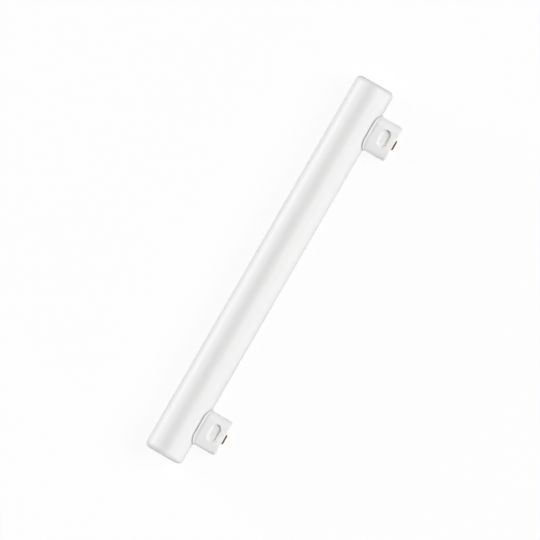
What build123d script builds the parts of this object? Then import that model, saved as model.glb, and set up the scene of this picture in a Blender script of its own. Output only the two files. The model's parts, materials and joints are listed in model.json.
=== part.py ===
"""Tubular lamp with two side bases: an opal tube that lies on its side, its bases towards the front.

The tube runs along X. Each base stands out from the tube towards -Y and slopes down until the lower edge of its
end touches the ground, so the lamp lies on the tube and on both bases.
"""

import math
import os

from build123d import *

# Opal tube
tube_length = 300.0
tube_diameter = 29.0
tube_end_radius = 3.6

# Bases: length runs along the tube, width across it, reach from the tube's axis out to the end face
base_inset = 31.0
base_length = 26.6
base_width = 16.6
base_corner_radius = 6.5
base_reach = 31.7
base_edge_bevel = 0.8
base_wall = 3.0
base_end_wall = 2.2
cement_gap = 0.15

# Saddle lip around the foot of each base: its underside is a flatter round than the tube by the flare, so that the
# shadow gap under it opens towards the long sides; the foot that is cemented to the tube is set back under the lip
lip_end_overhang = 0.9
lip_side_overhang = 1.45
lip_thickness = 0.4
lip_crown_gap = 0.5
saddle_flare = 1.7
foot_setback = 2.0

# Oblong recess for the holder's spring, on both long sides of a base, its middle set back from the end face; the
# cut starts above the side by the overcut
recess_length = 13.7
recess_width = 7.2
recess_depth = 2.2
recess_setback = 8.4
recess_draft = 35.0
recess_overcut = 1.0

# Lead-in ramp for the holder's spring, at the outer end of both long sides
ramp_width = 11.0
ramp_length = 3.3
ramp_depth = 0.6

# Brass contact: a plate on the end face, held by two tangs bent over behind the end wall
contact_length = 7.4
contact_width = 5.0
contact_rise = 1.15
contact_end_radius = 0.85
tang_sheet = 0.4
tang_width = 2.4
tang_foot = 1.6
tang_bend_radius = 0.5
tang_clearance = 0.1

# Bare lead from the tube to the contact
lead_diameter = 0.8
lead_depth = 1.2
lead_clearance = 0.1

tube_radius = tube_diameter / 2
half_width = base_width / 2
saddle_radius = tube_radius + saddle_flare
saddle_middle = lip_crown_gap - saddle_flare
lead_hole_radius = lead_diameter / 2 + lead_clearance
tang_spacing = contact_length - tang_sheet
recess_growth = 2 * recess_overcut * math.tan(math.radians(recess_draft))

# The slope of the bases: the lower edge of each base's end comes down to the ground beside the tube
edge_out = base_reach - base_edge_bevel
slope = math.asin(tube_radius / math.hypot(edge_out, half_width)) - math.atan2(half_width, edge_out)
outward = Vector(0, -math.cos(slope), -math.sin(slope))
upper_side = Vector(0, -math.sin(slope), math.cos(slope))


def front_extent(out, up):
    """How far in front of the tube's axis a point reaches, from its places along and across a base."""
    return out * math.cos(slope) + up * math.sin(slope)


# The tube's axis lies behind the origin, which is on the ground in the middle of the whole lamp
front = max(
    front_extent(base_reach, half_width - base_edge_bevel),
    front_extent(base_reach + contact_rise, contact_width / 2),
)
tube_centre = Vector(0, (front - tube_radius) / 2, tube_radius)


def seat_at(x):
    """The plane of one base: on the tube's axis, x along the tube, z outwards."""
    return Plane(origin=tube_centre + Vector(x, 0, 0), x_dir=(1, 0, 0), z_dir=outward)


def across(seat):
    """The plane across the tube at a seat: x towards the upper side of the base, y outwards."""
    return Plane(origin=seat.origin, x_dir=upper_side, z_dir=(-1, 0, 0))


def along(seat):
    """The plane along the tube at a seat: x along the tube, y outwards."""
    return Plane(origin=seat.origin, x_dir=(1, 0, 0), z_dir=-upper_side)


seat_x = tube_length / 2 - base_inset
seats = {"left": seat_at(-seat_x), "right": seat_at(seat_x)}


def opal_tube():
    """The sealed opal tube, one closed solid with a lead-in under each base."""
    with BuildPart() as tube:
        with BuildSketch(Plane(origin=tube_centre, z_dir=(1, 0, 0))):
            Circle(tube_radius)
        extrude(amount=tube_length / 2, both=True)
        fillet(tube.edges().filter_by(GeomType.CIRCLE), tube_end_radius)
        for seat in seats.values():
            with BuildSketch(seat.offset(tube_radius - lead_depth)):
                Circle(lead_hole_radius)
            extrude(amount=2 * lead_depth, mode=Mode.SUBTRACT)
    return tube.part


def base(seat):
    """One moulded base: a hollow rounded block with a saddle lip, recesses and ramps."""
    outwards = Axis(seat.origin, seat.z_dir)
    with BuildPart() as moulding:
        # Saddle lip: its outline cut from a sleeve that is flatter than the tube
        with BuildSketch(seat):
            RectangleRounded(
                base_length + 2 * lip_end_overhang,
                base_width + 2 * lip_side_overhang,
                base_corner_radius + lip_end_overhang,
            )
        extrude(amount=base_reach)
        with BuildSketch(across(seat)):
            with Locations((0, saddle_middle)):
                Circle(saddle_radius + lip_thickness)
                Circle(saddle_radius, mode=Mode.SUBTRACT)
        extrude(amount=base_length, both=True, mode=Mode.INTERSECT)

        # Rounded block on the lip
        with BuildSketch(seat):
            RectangleRounded(base_length, base_width, base_corner_radius)
        extrude(amount=base_reach)
        chamfer(moulding.faces().sort_by(outwards)[-1].edges(), base_edge_bevel)
        with BuildSketch(across(seat)):
            with Locations((0, saddle_middle)):
                Circle(saddle_radius)
        extrude(amount=base_length, both=True, mode=Mode.SUBTRACT)

        # Set-back foot, then the hollow, open towards the tube
        with BuildSketch(seat):
            RectangleRounded(
                base_length - 2 * foot_setback,
                base_width - 2 * foot_setback,
                base_corner_radius - foot_setback,
            )
        extrude(amount=base_reach - base_end_wall)
        with BuildSketch(seat):
            RectangleRounded(
                base_length - 2 * base_wall,
                base_width - 2 * base_wall,
                base_corner_radius - base_wall,
            )
        extrude(amount=base_reach - base_end_wall, mode=Mode.SUBTRACT)
        with BuildSketch(across(seat)):
            Circle(tube_radius + cement_gap)
        extrude(amount=base_length, both=True, mode=Mode.SUBTRACT)

        for side in (1, -1):
            # Recess with sloping walls
            face = Plane(
                origin=seat.origin + side * (half_width + recess_overcut) * upper_side,
                x_dir=(-side, 0, 0),
                z_dir=side * upper_side,
            )
            with BuildSketch(face):
                with Locations((0, base_reach - recess_setback)):
                    SlotOverall(recess_length + recess_growth, recess_width + recess_growth)
            extrude(amount=-recess_overcut - recess_depth, taper=recess_draft, mode=Mode.SUBTRACT)

            # Ramp that deepens from nothing to the end face, carried on past it
            with BuildSketch(across(seat)):
                with BuildLine():
                    Polyline(
                        (side * half_width, base_reach - ramp_length),
                        (side * (half_width - 2 * ramp_depth), base_reach + ramp_length),
                        (side * (half_width + ramp_depth), base_reach + ramp_length),
                        close=True,
                    )
                make_face()
            extrude(amount=ramp_width / 2, both=True, mode=Mode.SUBTRACT)

        # Slots for the contact's tangs and a hole for the lead, through the end wall
        with BuildSketch(seat.offset(base_reach)):
            with GridLocations(tang_spacing, 0, 2, 1):
                Rectangle(tang_sheet + 2 * tang_clearance, tang_width + 2 * tang_clearance)
            Circle(lead_hole_radius)
        extrude(amount=-base_end_wall, mode=Mode.SUBTRACT)
    return moulding.part


def contact(seat):
    """One contact: a plate with rounded ends on the end face's middle, with two clinched tangs."""
    outwards = Axis(seat.origin, seat.z_dir)
    foot_height = base_reach - base_end_wall - tang_clearance - tang_sheet / 2
    with BuildPart() as plate:
        with BuildSketch(seat.offset(base_reach)):
            Rectangle(contact_length, contact_width)
        extrude(amount=contact_rise)
        top_edges = plate.faces().sort_by(outwards)[-1].edges()
        fillet(top_edges.filter_by(Axis(seat.origin, upper_side)), contact_end_radius)
        for side in (1, -1):
            tang_x = side * tang_spacing / 2
            with BuildSketch(along(seat)):
                with BuildLine():
                    FilletPolyline(
                        (tang_x, base_reach),
                        (tang_x, foot_height),
                        (tang_x + side * tang_foot, foot_height),
                        radius=tang_bend_radius,
                    )
                trace(line_width=tang_sheet)
            extrude(amount=tang_width / 2, both=True)
    return plate.part


def lead(seat):
    """One straight lead, from its hole in the tube up to the underside of the contact."""
    foot = tube_radius - lead_depth
    with BuildPart() as wire:
        with BuildSketch(seat.offset(foot)):
            Circle(lead_diameter / 2)
        extrude(amount=base_reach - foot)
    return wire.part


pieces = {"opal_tube": opal_tube()}
for end, seat in seats.items():
    pieces[f"base_{end}"] = base(seat)
    pieces[f"contact_{end}"] = contact(seat)
    pieces[f"lead_{end}"] = lead(seat)

os.makedirs("parts", exist_ok=True)
for name, piece in pieces.items():
    piece.label = name
    export_step(piece, f"parts/{name}.step")
    print(name, "volume", round(piece.volume, 1))
print("slope", round(math.degrees(slope), 2), "tube axis at y", round(tube_centre.Y, 2))
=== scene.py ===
# %% [markdown]
# # A tubular lamp with two side bases
# The lamp is a sealed opal tube that lies on its side, with two white moulded bases that push sideways into lamp
# holders. Everything on it is white but for two small brass contacts, so its look rests on clean curves, on the soft
# edges of the mouldings and on how the light rolls over the tube.

# %% Load the frame
import json
import math

import bmesh
import bpy
import numpy as np
from mathutils import Matrix, Vector


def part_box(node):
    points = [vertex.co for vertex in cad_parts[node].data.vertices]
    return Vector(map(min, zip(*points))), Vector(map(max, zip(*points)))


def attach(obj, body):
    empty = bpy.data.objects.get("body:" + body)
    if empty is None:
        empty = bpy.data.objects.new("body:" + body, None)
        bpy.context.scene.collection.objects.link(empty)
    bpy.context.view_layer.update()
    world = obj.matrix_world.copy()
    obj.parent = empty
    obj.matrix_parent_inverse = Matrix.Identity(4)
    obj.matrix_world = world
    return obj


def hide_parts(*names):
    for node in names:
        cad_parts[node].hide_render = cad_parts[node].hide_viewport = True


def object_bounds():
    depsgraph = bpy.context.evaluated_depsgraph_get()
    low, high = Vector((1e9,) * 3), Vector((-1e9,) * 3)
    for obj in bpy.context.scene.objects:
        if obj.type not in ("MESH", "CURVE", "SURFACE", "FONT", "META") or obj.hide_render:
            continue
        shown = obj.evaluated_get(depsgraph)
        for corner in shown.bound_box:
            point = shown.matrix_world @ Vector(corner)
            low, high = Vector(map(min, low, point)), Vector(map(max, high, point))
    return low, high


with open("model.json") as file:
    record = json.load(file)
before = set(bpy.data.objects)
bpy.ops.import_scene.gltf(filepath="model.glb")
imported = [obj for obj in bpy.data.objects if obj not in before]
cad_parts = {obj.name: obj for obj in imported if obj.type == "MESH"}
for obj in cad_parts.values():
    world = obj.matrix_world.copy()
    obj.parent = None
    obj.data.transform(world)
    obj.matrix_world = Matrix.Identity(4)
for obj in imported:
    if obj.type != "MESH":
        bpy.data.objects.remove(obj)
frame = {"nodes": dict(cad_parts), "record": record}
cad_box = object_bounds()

print("frame", [tuple(round(v, 4) for v in corner) for corner in cad_box])

# %% [markdown]
# ## Sizes and directions
# The frame already knows where the tube lies and which way the bases point, so those are read from it. Each base has
# three directions of its own: along the tube, outwards from the tube, and towards its upper long side. All lengths are
# in metres.

# %% Sizes and directions
mm = 0.001
tube_low, tube_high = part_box("opal_tube")
tube_centre = (tube_low + tube_high) / 2
tube_length = tube_high.x - tube_low.x
tube_radius = (tube_high.z - tube_low.z) / 2
tube_end_radius = 3.6 * mm

mounts = {mount["name"]: mount for mount in frame["record"]["mounts"]}
along = Vector((1, 0, 0))
outward = Vector(mounts["left_base"]["axis"]).normalized()
upper_side = outward.cross(along)

ends = ("left", "right")
seats = {}
for end in ends:
    seats[end] = Vector((mounts[f"{end}_base"]["pos_m"][0], tube_centre.y, tube_centre.z))
base_reach = (Vector(mounts["left_base"]["pos_m"]) - seats["left"]).dot(outward)
print("tube", round(tube_length, 4), "by", round(2 * tube_radius, 4), "reach", round(base_reach, 4))

# %% [markdown]
# ## Camera
# The picture looks square onto the upper side of the bases, from so far away that nothing shrinks with distance. A very
# long lens does the same. In the picture the tube leans thirty degrees to the right of upright.

# %% Camera
picture_width = 540
pixel_on_lamp = 0.7009 * mm
lean = math.radians(30)
lamp_right_of_middle = -0.5 * pixel_on_lamp
lamp_above_middle = 0.37 * pixel_on_lamp
lens_in_mm = 1000

camera_data = bpy.data.cameras.new("camera")
camera_data.lens = lens_in_mm
camera_distance = picture_width * pixel_on_lamp * lens_in_mm / camera_data.sensor_width
camera = bpy.data.objects.new("camera", camera_data)
picture_right = math.sin(lean) * along + math.cos(lean) * outward
picture_up = math.cos(lean) * along - math.sin(lean) * outward
picture_middle = tube_centre - lamp_right_of_middle * picture_right - lamp_above_middle * picture_up
turned = Matrix((picture_right, picture_up, upper_side)).transposed()
camera.matrix_world = Matrix.Translation(picture_middle + camera_distance * upper_side) @ turned.to_4x4()
bpy.context.scene.collection.objects.link(camera)
bpy.context.scene.camera = camera
bpy.context.scene.view_settings.view_transform = "Standard"
print("camera", round(camera_distance, 2), "m away, looks along", tuple(round(v, 3) for v in -upper_side))

# %% [markdown]
# ## Reckoning with sockets
# Both the finishes and the tube's shape are node trees, and most of their nodes are plain arithmetic. A small class
# wraps a socket, so that an expression such as 1 - mask adds its Math nodes by itself. One method adds any other node
# from its type, its settings and what goes into its sockets.

# %% Sockets that can be reckoned with
relief_distance = 0.02 * mm
mix_colour_inputs = (6, 7)
mix_colour_output = 2


class Wire:
    """One output socket in a node tree, with arithmetic."""

    def __init__(self, tree, socket=None):
        self.tree = tree
        self.socket = socket

    def node(self, kind, settings=None, inputs=None, output=0):
        """Adds a node, sets it up, feeds its sockets and gives back one of its outputs."""
        made = self.tree.nodes.new(kind)
        for name, value in (settings or {}).items():
            setattr(made, name, value)
        for key, value in (inputs or {}).items():
            if isinstance(value, Wire):
                self.tree.links.new(value.socket, made.inputs[key])
            else:
                made.inputs[key].default_value = value
        return Wire(self.tree, made.outputs[output] if len(made.outputs) else None)

    def math(self, operation, *values):
        """Adds a Math node."""
        return self.node("ShaderNodeMath", {"operation": operation}, dict(enumerate(values)))

    def __add__(self, other):
        return self.math("ADD", self, other)

    def __radd__(self, other):
        return self.math("ADD", other, self)

    def __sub__(self, other):
        return self.math("SUBTRACT", self, other)

    def __rsub__(self, other):
        return self.math("SUBTRACT", other, self)

    def __mul__(self, other):
        return self.math("MULTIPLY", self, other)

    def __rmul__(self, other):
        return self.math("MULTIPLY", other, self)

    def __truediv__(self, other):
        return self.math("DIVIDE", self, other)


def new_finish(name):
    """An empty material, ready for its nodes: the finish and a Wire to build with."""
    finish = bpy.data.materials.new(name)
    finish.use_nodes = True
    finish.node_tree.nodes.clear()
    return finish, Wire(finish.node_tree)


def close_finish(wire, shader):
    """Gives a shader to the material's output."""
    wire.node("ShaderNodeOutputMaterial", inputs={"Surface": shader})


def noise(wire, scale, detail, stretch=(1, 1, 1)):
    """Noise in the piece's own coordinates, scale in features a metre, stretched along the axes."""
    place = wire.node("ShaderNodeTexCoord", output="Object")
    place = wire.node("ShaderNodeMapping", inputs={"Vector": place, "Scale": stretch})
    inputs = {"Vector": place, "Scale": scale, "Detail": detail}
    return wire.node("ShaderNodeTexNoise", inputs=inputs)


def coordinate(wire, axis):
    """One of the piece's own coordinates."""
    place = wire.node("ShaderNodeTexCoord", output="Object")
    return wire.node("ShaderNodeSeparateXYZ", inputs={"Vector": place}, output=axis)


def rising(wire, value, start, stop):
    """Softly from 0 to 1 while a value goes from start to stop."""
    inputs = {"Value": value, "From Min": start, "From Max": stop}
    return wire.node("ShaderNodeMapRange", {"interpolation_type": "SMOOTHSTEP"}, inputs)


def ranged(factor, low, high):
    """A number between two, by a factor from 0 to 1."""
    return low + (high - low) * factor


def between(wire, factor, first, second):
    """A colour between two, by a factor from 0 to 1."""
    inputs = {"Factor": factor}
    for number, colour in zip(mix_colour_inputs, (first, second)):
        inputs[number] = colour if isinstance(colour, Wire) else (*colour, 1)
    return wire.node("ShaderNodeMix", {"data_type": "RGBA"}, inputs, output=mix_colour_output)


def relief(wire, strength, height):
    """The normal of a surface with fine relief."""
    inputs = {"Strength": strength, "Distance": relief_distance, "Height": height}
    return wire.node("ShaderNodeBump", inputs=inputs)


print("sockets ready")

# %% [markdown]
# ## Opal plastic
# The envelope is drawn opal plastic: a clean white with a satin skin. Drawing leaves faint lines along the tube that
# the eye takes in as a soft sheen, so the roughness follows noise that is stretched along the tube, and a bump too
# small to see by itself breaks the highlight. Towards the ends the white is painted a little greyer: painted shade
# that darkens the rounded ends of the tube.

# %% Opal plastic
opal_white = (0.81, 0.81, 0.805)
opal_shade = (0.79, 0.79, 0.785)
# painted shade: the grey that the rounded ends of the tube are painted
opal_painted_end_shade = (0.7, 0.7, 0.695)
opal_roughness = (0.38, 0.48)
opal_relief = 0.12
drawn_stretch = (0.02, 1, 1)
drawn_share, skin_share = 0.6, 0.4
end_shade_length = 4.0 * mm


def opal_plastic():
    finish, wire = new_finish("opal_plastic")
    cloud = noise(wire, scale=45, detail=3)
    drawn = noise(wire, scale=900, detail=2, stretch=drawn_stretch)
    skin = noise(wire, scale=2600, detail=2)
    from_middle = wire.math("ABSOLUTE", coordinate(wire, "X") - tube_centre.x)
    # painted shade: the colour turns greyer over the last few millimetres towards each end
    painted_end_shade_mask = rising(wire, from_middle, tube_length / 2 - end_shade_length, tube_length / 2)
    white = between(wire, cloud, opal_shade, opal_white)
    shader = wire.node(
        "ShaderNodeBsdfPrincipled",
        inputs={
            "Base Color": between(wire, painted_end_shade_mask, white, opal_painted_end_shade),
            "Roughness": ranged(drawn, *opal_roughness),
            "Normal": relief(wire, opal_relief, drawn_share * drawn + skin_share * skin),
        },
    )
    close_finish(wire, shader)
    return finish


opal = opal_plastic()
print("finish", opal.name)

# %% [markdown]
# ## Moulded white plastic
# The bases are moulded from a harder white plastic. The mould was spark-eroded, which leaves a fine, even grain: the
# highlight is broader than on the tube. The thin lip beside the tube is painted greyer than the block: painted shade
# where the lip meets the tube. It is found by its distance from the tube's axis.

# %% Moulded white plastic
base_white = (0.85, 0.85, 0.845)
base_shade = (0.83, 0.83, 0.825)
# painted shade: the grey of the lip beside the tube
painted_lip_shade_grey = (0.71, 0.71, 0.705)
base_roughness = (0.46, 0.58)
base_relief = 0.2
lip_top = 15.65 * mm
lip_blend = 0.3 * mm


def from_tube_axis(wire):
    """How far a spot on the lamp lies from the tube's axis."""
    y = coordinate(wire, "Y") - tube_centre.y
    z = coordinate(wire, "Z") - tube_centre.z
    return wire.math("SQRT", y * y + z * z)


def moulded_plastic():
    finish, wire = new_finish("moulded_plastic")
    cloud = noise(wire, scale=160, detail=3)
    grain = noise(wire, scale=5200, detail=3)
    # painted shade: close to the tube's axis, on the lip, the colour is painted grey
    beyond_painted_lip_shade = rising(wire, from_tube_axis(wire), lip_top, lip_top + lip_blend)
    white = between(wire, cloud, base_shade, base_white)
    shader = wire.node(
        "ShaderNodeBsdfPrincipled",
        inputs={
            "Base Color": between(wire, beyond_painted_lip_shade, painted_lip_shade_grey, white),
            "Roughness": ranged(grain, *base_roughness),
            "Normal": relief(wire, base_relief, grain),
        },
    )
    close_finish(wire, shader)
    return finish


moulded = moulded_plastic()
print("finish", moulded.name)

# %% [markdown]
# ## Brass and tinned wire
# The contacts are brass that has been handled and pushed along springs: dull patches of tarnish, which hide part of
# the metal's shine, and fine scratches along the tube's direction. The leads inside the bases are tinned copper.

# %% Brass and tinned wire
brass_bright = (0.26, 0.114, 0.013)
brass_dull = (0.13, 0.054, 0.006)
tin_bright = (0.72, 0.7, 0.67)
tin_dull = (0.5, 0.44, 0.38)
metal_shine = (0.75, 0.45)
metal_roughness = (0.16, 0.28)
tarnish_roughness = 0.1
metal_relief = 0.3
film_reflection = 0.15
scratch_stretch = (0.06, 1, 1)


def rubbed_metal(name, bright, dull):
    finish, wire = new_finish(name)
    tarnish = noise(wire, scale=700, detail=4)
    scratches = noise(wire, scale=9000, detail=2, stretch=scratch_stretch)
    shader = wire.node(
        "ShaderNodeBsdfPrincipled",
        inputs={
            "Base Color": between(wire, tarnish, bright, dull),
            "Metallic": ranged(tarnish, *metal_shine),
            "Roughness": ranged(scratches, *metal_roughness) + tarnish_roughness * tarnish,
            "Specular IOR Level": film_reflection,
            "Normal": relief(wire, metal_relief, scratches),
        },
    )
    close_finish(wire, shader)
    return finish


brass = rubbed_metal("brass", brass_bright, brass_dull)
tinned = rubbed_metal("tinned_wire", tin_bright, tin_dull)
print("finishes", brass.name, tinned.name)

# %% [markdown]
# ## The opal tube
# The tube is a circle swept along a straight line, and only its ends differ: there the circle shrinks as the wall
# turns in. That is a rule, so Geometry Nodes draw it. A line gets its rings, each ring a place along the tube and a
# scale, and the ends are capped flat. Half of the rings are kept for the turns at the ends.

# %% The opal tube
tube_rings = 97
tube_facets = 192
straight_share = 0.5


def put_in_scene(name, mesh):
    """An object at the origin for a mesh that is already in place."""
    piece = bpy.data.objects.new(name, mesh)
    bpy.context.scene.collection.objects.link(piece)
    return piece


def tube_tree():
    """A node tree that draws a round-ended tube along X from named sizes."""
    tree = bpy.data.node_groups.new("round_ended_tube", "GeometryNodeTree")
    for name in ("Length", "Radius", "End Radius"):
        tree.interface.new_socket(name, in_out="INPUT", socket_type="NodeSocketFloat")
    for name in ("Rings", "Facets"):
        tree.interface.new_socket(name, in_out="INPUT", socket_type="NodeSocketInt")
    tree.interface.new_socket("Centre", in_out="INPUT", socket_type="NodeSocketVector")
    tree.interface.new_socket("Finish", in_out="INPUT", socket_type="NodeSocketMaterial")
    tree.interface.new_socket("Geometry", in_out="OUTPUT", socket_type="NodeSocketGeometry")
    given = tree.nodes.new("NodeGroupInput")
    wire = Wire(tree)
    names = ("Length", "Radius", "End Radius", "Rings", "Facets", "Centre", "Finish")
    length, radius, end_radius, rings, facets, centre, finish = (Wire(tree, given.outputs[name]) for name in names)

    index = wire.node("GeometryNodeInputIndex")
    place = 2 * index / (rings - 1) - 1
    away = wire.math("ABSOLUTE", place)
    turn = wire.math("MAXIMUM", 0, (away - straight_share) / (1 - straight_share)) * (math.pi / 2)
    straight = wire.math("MINIMUM", 1, away / straight_share) * (0.5 * length - end_radius)
    x = wire.math("SIGN", place) * (straight + end_radius * wire.math("SINE", turn))
    ring_radius = radius - end_radius + end_radius * wire.math("COSINE", turn)

    line = wire.node("GeometryNodeCurvePrimitiveLine")
    line = wire.node("GeometryNodeResampleCurve", inputs={"Curve": line, "Count": rings})
    spot = wire.node("ShaderNodeCombineXYZ", inputs={"X": x})
    line = wire.node("GeometryNodeSetPosition", inputs={"Geometry": line, "Position": spot})
    circle = wire.node("GeometryNodeCurvePrimitiveCircle", inputs={"Resolution": facets, "Radius": 1.0})
    tube = wire.node(
        "GeometryNodeCurveToMesh",
        inputs={"Curve": line, "Profile Curve": circle, "Scale": ring_radius, "Fill Caps": True},
    )
    tube = wire.node("GeometryNodeSetPosition", inputs={"Geometry": tube, "Offset": centre})
    tube = wire.node("GeometryNodeSetShadeSmooth", inputs={"Geometry": tube})
    tube = wire.node("GeometryNodeRealizeInstances", inputs={"Geometry": tube})
    tube = wire.node("GeometryNodeSetMaterial", inputs={"Geometry": tube, "Material": finish})
    wire.node("NodeGroupOutput", inputs={"Geometry": tube})
    return tree


def drawn_by(tree, name, **values):
    """Runs a node tree with its inputs set by name, and gives a plain mesh object."""
    holder = put_in_scene(f"{name}_tree", bpy.data.meshes.new(f"{name}_tree"))
    modifier = holder.modifiers.new("tree", "NODES")
    modifier.node_group = tree
    for socket in tree.interface.items_tree:
        if socket.in_out == "INPUT":
            modifier[socket.identifier] = values[socket.name.lower().replace(" ", "_")]
    bpy.context.view_layer.update()
    drawn = holder.evaluated_get(bpy.context.evaluated_depsgraph_get())
    mesh = bpy.data.meshes.new_from_object(drawn)
    holder.modifiers.remove(modifier)
    bpy.data.objects.remove(holder)
    return put_in_scene(name, mesh)


tube = drawn_by(
    tube_tree(),
    "tube_envelope",
    length=tube_length,
    radius=tube_radius,
    end_radius=tube_end_radius,
    rings=tube_rings,
    facets=tube_facets,
    centre=tube_centre,
    finish=opal,
)
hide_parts("opal_tube")
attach(tube, "root")
print("tube faces", len(tube.data.polygons), "materials", [m.name for m in tube.data.materials])

# %% [markdown]
# ## The moulded bases
# A base is a rounded block on a thin saddle lip. The lip stands clear of the tube, so a shadow gap runs round it, and
# a foot that is set back under the block meets the tube. Above the lip the block has a slight neck, which draws a soft
# grey line beside the lip. Each long side has a recess, lofted between a wide slot at its rim and a narrower one at its
# floor, and a shallow ramp at the outer end. The edges catch the light as narrow lines, so they have to be real
# roundings, wide at the short ends and tight along the long sides.
#
# The shape is built as a stack of closed loops around the rounded outline, from the foot to the end face: each loop
# has an offset from the outline and a height, and the recess and the ramp push the long sides in.

# %% The moulded bases
base_length = 26.6 * mm
base_width = 16.6 * mm
base_corner_radius = 6.5 * mm
edge_radius_ends = 1.8 * mm
edge_radius_sides = 0.9 * mm
cement_gap = 0.15 * mm
foot_setback = 2.0 * mm
lip_end_overhang = 0.9 * mm
lip_side_overhang = 1.45 * mm
lip_thickness = 0.4 * mm
lip_crown_gap = 0.5 * mm
saddle_flare = 1.7 * mm
lip_edge_radius = 0.15 * mm
lip_root_radius = 0.25 * mm
neck_depth = 0.3 * mm
neck_length = 1.5 * mm
recess_depth = 2.2 * mm
recess_rim = dict(length=13.8 * mm, width=7.5 * mm, middle=(0.3 * mm, 23.3 * mm))
recess_floor = dict(length=10.4 * mm, width=4.4 * mm, middle=(1.1 * mm, 24.1 * mm))
ramp_width = 11.0 * mm
ramp_length = 3.3 * mm
ramp_depth = 0.4 * mm
ramp_edge_softness = 0.3 * mm

side_points = 96
corner_points = 20
end_points = 8
wall_rows = 104
edge_rows = 12
rim_rows = 5
innermost = 0.2 * mm - base_corner_radius
foot_offsets = (innermost, -4 * mm, -foot_setback)
end_face_offsets = (-3 * mm, -4.5 * mm, innermost)
long_side_facing = 0.7


def outline_points():
    """Around the outline: the middle that each point swings about, and its direction from there."""
    half_x = base_length / 2 - base_corner_radius
    half_u = base_width / 2 - base_corner_radius
    middles, directions = [], []
    corners = (
        (half_x, half_u, 0, end_points),
        (-half_x, half_u, 90, side_points),
        (-half_x, -half_u, 180, end_points),
        (half_x, -half_u, 270, side_points),
    )
    for number, (x, u, start, before) in enumerate(corners):
        last_x, last_u = corners[number - 1][:2]
        for step in range(1, before):
            share = step / before
            middles.append((last_x + share * (x - last_x), last_u + share * (u - last_u)))
            directions.append((math.cos(math.radians(start)), math.sin(math.radians(start))))
        for step in range(corner_points + 1):
            angle = math.radians(start + 90 * step / corner_points)
            middles.append((x, u))
            directions.append((math.cos(angle), math.sin(angle)))
    return np.array(middles), np.array(directions)


def smooth_step(values):
    """Softly from 0 to 1."""
    values = np.clip(values, 0, 1)
    return values * values * (3 - 2 * values)


def from_slot(x, out, length, width, middle):
    """Distance from the edge of a round-ended slot, negative inside it."""
    beyond = np.maximum(np.abs(x - middle[0]) - (length - width) / 2, 0)
    return np.hypot(beyond, out - middle[1]) - width / 2


def pushed_in(x, out, facing):
    """How far the recess and the ramp push in the wall, at places along the tube and outwards."""
    inside_rim = np.maximum(-from_slot(x, out, **recess_rim), 0)
    off_floor = np.maximum(from_slot(x, out, **recess_floor), 0)
    recess = recess_depth * smooth_step(inside_rim / (inside_rim + off_floor))
    ramp = ramp_depth * np.clip((out - base_reach + ramp_length) / ramp_length, 0, 1)
    ramp = ramp * smooth_step((ramp_width / 2 - np.abs(x)) / ramp_edge_softness + 0.5)
    return (recess + ramp) * (np.abs(facing) > long_side_facing)


def base_loops():
    """The loops of one base, foot first: for each point its places along, upwards and outwards."""
    middles, directions = outline_points()

    def at(offset):
        """Points at an offset from the outline."""
        return middles + (base_corner_radius + offset)[:, None] * directions

    def even(offset):
        """One offset for all points."""
        return np.full(len(middles), offset)

    def on_round(offset, radius, middle):
        """Points on a cylinder along the tube, with its middle outwards from the tube's axis."""
        spots = at(offset)
        out = middle + np.sqrt(radius**2 - spots[:, 1] ** 2)
        return np.column_stack((spots, out))

    def on_saddle(offset, height):
        """Points at a height above the lip's underside."""
        return on_round(offset, tube_radius + saddle_flare + height, lip_crown_gap - saddle_flare)

    quarter = [math.pi / 2 * step / rim_rows for step in range(rim_rows + 1)]
    overhang = lip_end_overhang * directions[:, 0] ** 2 + lip_side_overhang * directions[:, 1] ** 2
    rim = overhang - lip_edge_radius
    neck = neck_depth * directions[:, 1] ** 2
    foot_radius = tube_radius + cement_gap
    loops = [on_round(even(offset), foot_radius, 0) for offset in foot_offsets]
    loops.extend(on_saddle(even(offset), 0) for offset in (-foot_setback, 0))
    for angle in quarter:
        turn_out = rim + lip_edge_radius * math.sin(angle)
        loops.append(on_saddle(turn_out, lip_edge_radius * (1 - math.cos(angle))))
    for angle in quarter:
        turn_in = rim + lip_edge_radius * math.cos(angle)
        loops.append(on_saddle(turn_in, lip_thickness - lip_edge_radius * (1 - math.sin(angle))))
    for angle in quarter:
        root = on_saddle(lip_root_radius * (1 - math.sin(angle)) - neck, lip_thickness)
        root[:, 2] += lip_root_radius * (1 - math.cos(angle))
        loops.append(root)

    wall_start = loops[-1][:, 2]
    edge_radius = edge_radius_ends * directions[:, 0] ** 2 + edge_radius_sides * directions[:, 1] ** 2
    wall_end = base_reach - edge_radius
    outline = at(even(0))
    for row in range(1, wall_rows + 1):
        out = wall_start + (wall_end - wall_start) * row / wall_rows
        push = pushed_in(outline[:, 0], out, directions[:, 1])
        push += neck * (1 - smooth_step((out - wall_start) / neck_length))
        loops.append(np.column_stack((at(-push), out)))
    for row in range(1, edge_rows + 1):
        angle = math.pi / 2 * row / edge_rows
        out = wall_end + edge_radius * math.sin(angle)
        push = pushed_in(outline[:, 0], out, directions[:, 1])
        loops.append(np.column_stack((at(-push - edge_radius * (1 - math.cos(angle))), out)))
    for offset in end_face_offsets:
        loops.append(np.column_stack((at(even(offset)), even(base_reach))))
    return loops


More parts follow.
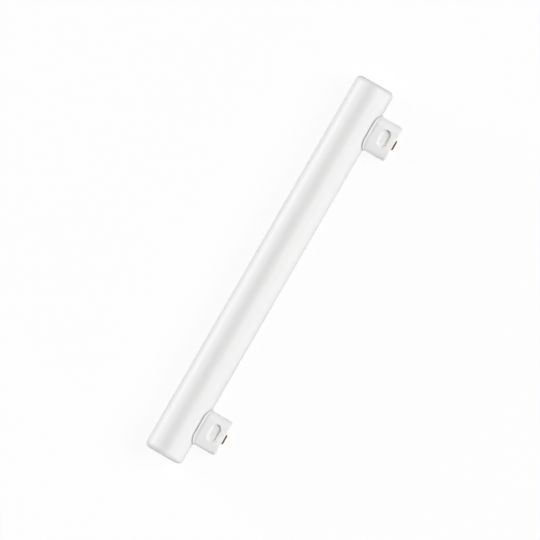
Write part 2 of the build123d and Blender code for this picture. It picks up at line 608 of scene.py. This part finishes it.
def moulded_base(end):
    """One base as a closed mesh: bands of quads between the loops, and a cap at each end of the stack."""
    loops = base_loops()
    around = len(loops[0])
    seat = np.array(seats[end])
    directions = np.array((along, upper_side, outward))
    points = seat + np.concatenate(loops) @ directions
    faces = []
    for row in range(len(loops) - 1):
        for step in range(around):
            after = (step + 1) % around
            first, second = row * around, (row + 1) * around
            faces.append((first + step, first + after, second + after, second + step))
    faces.append(tuple(range(around))[::-1])
    faces.append(tuple(range((len(loops) - 1) * around, len(loops) * around)))
    mesh = bpy.data.meshes.new(f"moulded_base_{end}")
    mesh.from_pydata(points.tolist(), [], faces)
    work = bmesh.new()
    work.from_mesh(mesh)
    bmesh.ops.recalc_face_normals(work, faces=work.faces)
    for face in work.faces:
        face.smooth = True
    work.to_mesh(mesh)
    work.free()
    mesh.materials.append(moulded)
    piece = put_in_scene(f"moulded_base_{end}", mesh)
    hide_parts(f"base_{end}")
    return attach(piece, "root")


bases = [moulded_base(end) for end in ends]
print("base faces", [len(piece.data.polygons) for piece in bases])

# %% [markdown]
# ## The brass contacts
# The solid of a contact has the right form, a plate with rounded ends and two tangs, but its edges are knife sharp.
# A copy of it with its doubles merged is bevelled, and the soft edges then catch the light as pressed metal does.

# %% The brass contacts
contact_softness = 0.18 * mm
contact_edge_rows = 3
flat_angle = math.radians(1)
sharp_angle = math.radians(40)
merge_distance = 0.001 * mm


def softened_contact(end):
    """A contact with eased edges, from a merged copy of its solid."""
    work = bmesh.new()
    work.from_mesh(frame["nodes"][f"contact_{end}"].data)
    bmesh.ops.remove_doubles(work, verts=work.verts, dist=merge_distance)
    bmesh.ops.dissolve_limit(work, angle_limit=flat_angle, verts=work.verts, edges=work.edges)
    sharp = [edge for edge in work.edges if edge.is_manifold and edge.calc_face_angle() > sharp_angle]
    bmesh.ops.bevel(
        work,
        geom=sharp,
        offset=contact_softness,
        offset_type="OFFSET",
        segments=contact_edge_rows,
        profile=0.5,
        affect="EDGES",
        clamp_overlap=True,
    )
    for face in work.faces:
        face.smooth = True
    mesh = bpy.data.meshes.new(f"brass_contact_{end}")
    work.to_mesh(mesh)
    work.free()
    mesh.materials.append(brass)
    piece = put_in_scene(f"brass_contact_{end}", mesh)
    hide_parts(f"contact_{end}")
    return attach(piece, "root")


contacts = [softened_contact(end) for end in ends]
for end in ends:
    lead = frame["nodes"][f"lead_{end}"]
    lead.data.materials.clear()
    lead.data.materials.append(tinned)
print("contact faces", [len(piece.data.polygons) for piece in contacts])

# %% [markdown]
# ## Floor and light
# A white lamp on a white floor needs light that models it. Soft lights stand far off, in front, behind and at the left
# end. The low ones brighten the tube's flanks, so that its crown is a little darker. The key comes from the right and
# leaves the right-hand walls of the recesses in shade, and the light at the left end is small and skims the floor, so
# that it reaches the left sides of the bases but not those walls.
#
# The floor is white to the camera and keeps a little of the light that falls on it, so the lamp's shadow stays. In
# reflections it is white too, but not close to the lamp: there it is painted black, like the cards that a photographer
# lays beside a white object. This is painted shade that stands in for the lamp's own shadow on the floor as reflections
# see it, and the lamp's edges stand out against the floor.

# %% Floor and light
floor_size = 4.0
floor_grey = (0.9, 0.9, 0.9, 1)
floor_white = (1, 1, 1, 1)
floor_shine_through = 0.92
# painted shade: the black that reflections see on the floor close to the lamp
painted_shade_black = (0.03, 0.03, 0.03, 1)
white_from, white_by = 40 * mm, 90 * mm
sky_white = (1, 1, 1, 1)
sky_level = 0.02


def beyond_lamp(wire):
    """How far a spot on the floor lies outside the lamp's own footprint."""
    low, high = cad_box
    outside = []
    for axis, number in (("X", 0), ("Y", 1)):
        from_middle = wire.math("ABSOLUTE", coordinate(wire, axis) - (low[number] + high[number]) / 2)
        outside.append(wire.math("MAXIMUM", 0, from_middle - (high[number] - low[number]) / 2))
    return wire.math("SQRT", outside[0] * outside[0] + outside[1] * outside[1])


def floor_finish():
    finish, wire = new_finish("pale_floor")
    kinds = ("Camera", "Glossy", "Transmission")
    camera_ray, glossy_ray, transmission_ray = (
        wire.node("ShaderNodeLightPath", output=f"Is {kind} Ray") for kind in kinds
    )
    away = rising(wire, beyond_lamp(wire), white_from, white_by)
    mirrored = wire.math("MAXIMUM", glossy_ray, transmission_ray)
    seen = wire.math("MAXIMUM", camera_ray, mirrored * away)
    lit = wire.node("ShaderNodeBsdfDiffuse", inputs={"Color": floor_grey})
    # painted shade: a black floor for reflections near the lamp, in place of the lamp's shadow there
    painted_reflection_shade = wire.node("ShaderNodeBsdfDiffuse", inputs={"Color": painted_shade_black})
    white = wire.node("ShaderNodeEmission", inputs={"Color": floor_white, "Strength": 1.0})
    ground = wire.node("ShaderNodeMixShader", inputs={"Fac": mirrored * (1 - away), 1: lit, 2: painted_reflection_shade})
    shader = wire.node("ShaderNodeMixShader", inputs={"Fac": floor_shine_through * seen, 1: ground, 2: white})
    close_finish(wire, shader)
    return finish


floor_mesh = bpy.data.meshes.new("floor")
half = floor_size / 2
floor_corners = [(-half, -half, 0), (half, -half, 0), (half, half, 0), (-half, half, 0)]
floor_mesh.from_pydata(floor_corners, [], [(0, 1, 2, 3)])
floor_mesh.materials.append(floor_finish())
floor = put_in_scene("floor", floor_mesh)


def soft_light(name, azimuth, elevation, level, spread):
    """A distant light, all angles in degrees: azimuth 0 is in front, 90 at the right end and 180 behind."""
    data = bpy.data.lights.new(name, "SUN")
    data.energy = level * math.pi
    data.angle = math.radians(spread)
    light = bpy.data.objects.new(name, data)
    turn, rise = math.radians(azimuth), math.radians(elevation)
    sideways = math.cos(rise)
    towards = Vector((math.sin(turn) * sideways, -math.cos(turn) * sideways, math.sin(rise)))
    light.location = tube_centre + towards
    light.rotation_euler = towards.to_track_quat("Z", "Y").to_euler()
    bpy.context.scene.collection.objects.link(light)
    return light


soft_light("key", azimuth=27, elevation=43, level=0.83, spread=30)
soft_light("front_fill", azimuth=350, elevation=8, level=0.16, spread=20)
soft_light("back_low", azimuth=180, elevation=7, level=0.72, spread=30)
soft_light("back_high", azimuth=180, elevation=45, level=0.32, spread=30)
soft_light("left_fill", azimuth=280, elevation=0, level=0.46, spread=4)

world = bpy.data.worlds.new("studio")
bpy.context.scene.world = world
world.use_nodes = True
sky = world.node_tree.nodes["Background"]
sky.inputs["Color"].default_value = sky_white
sky.inputs["Strength"].default_value = sky_level
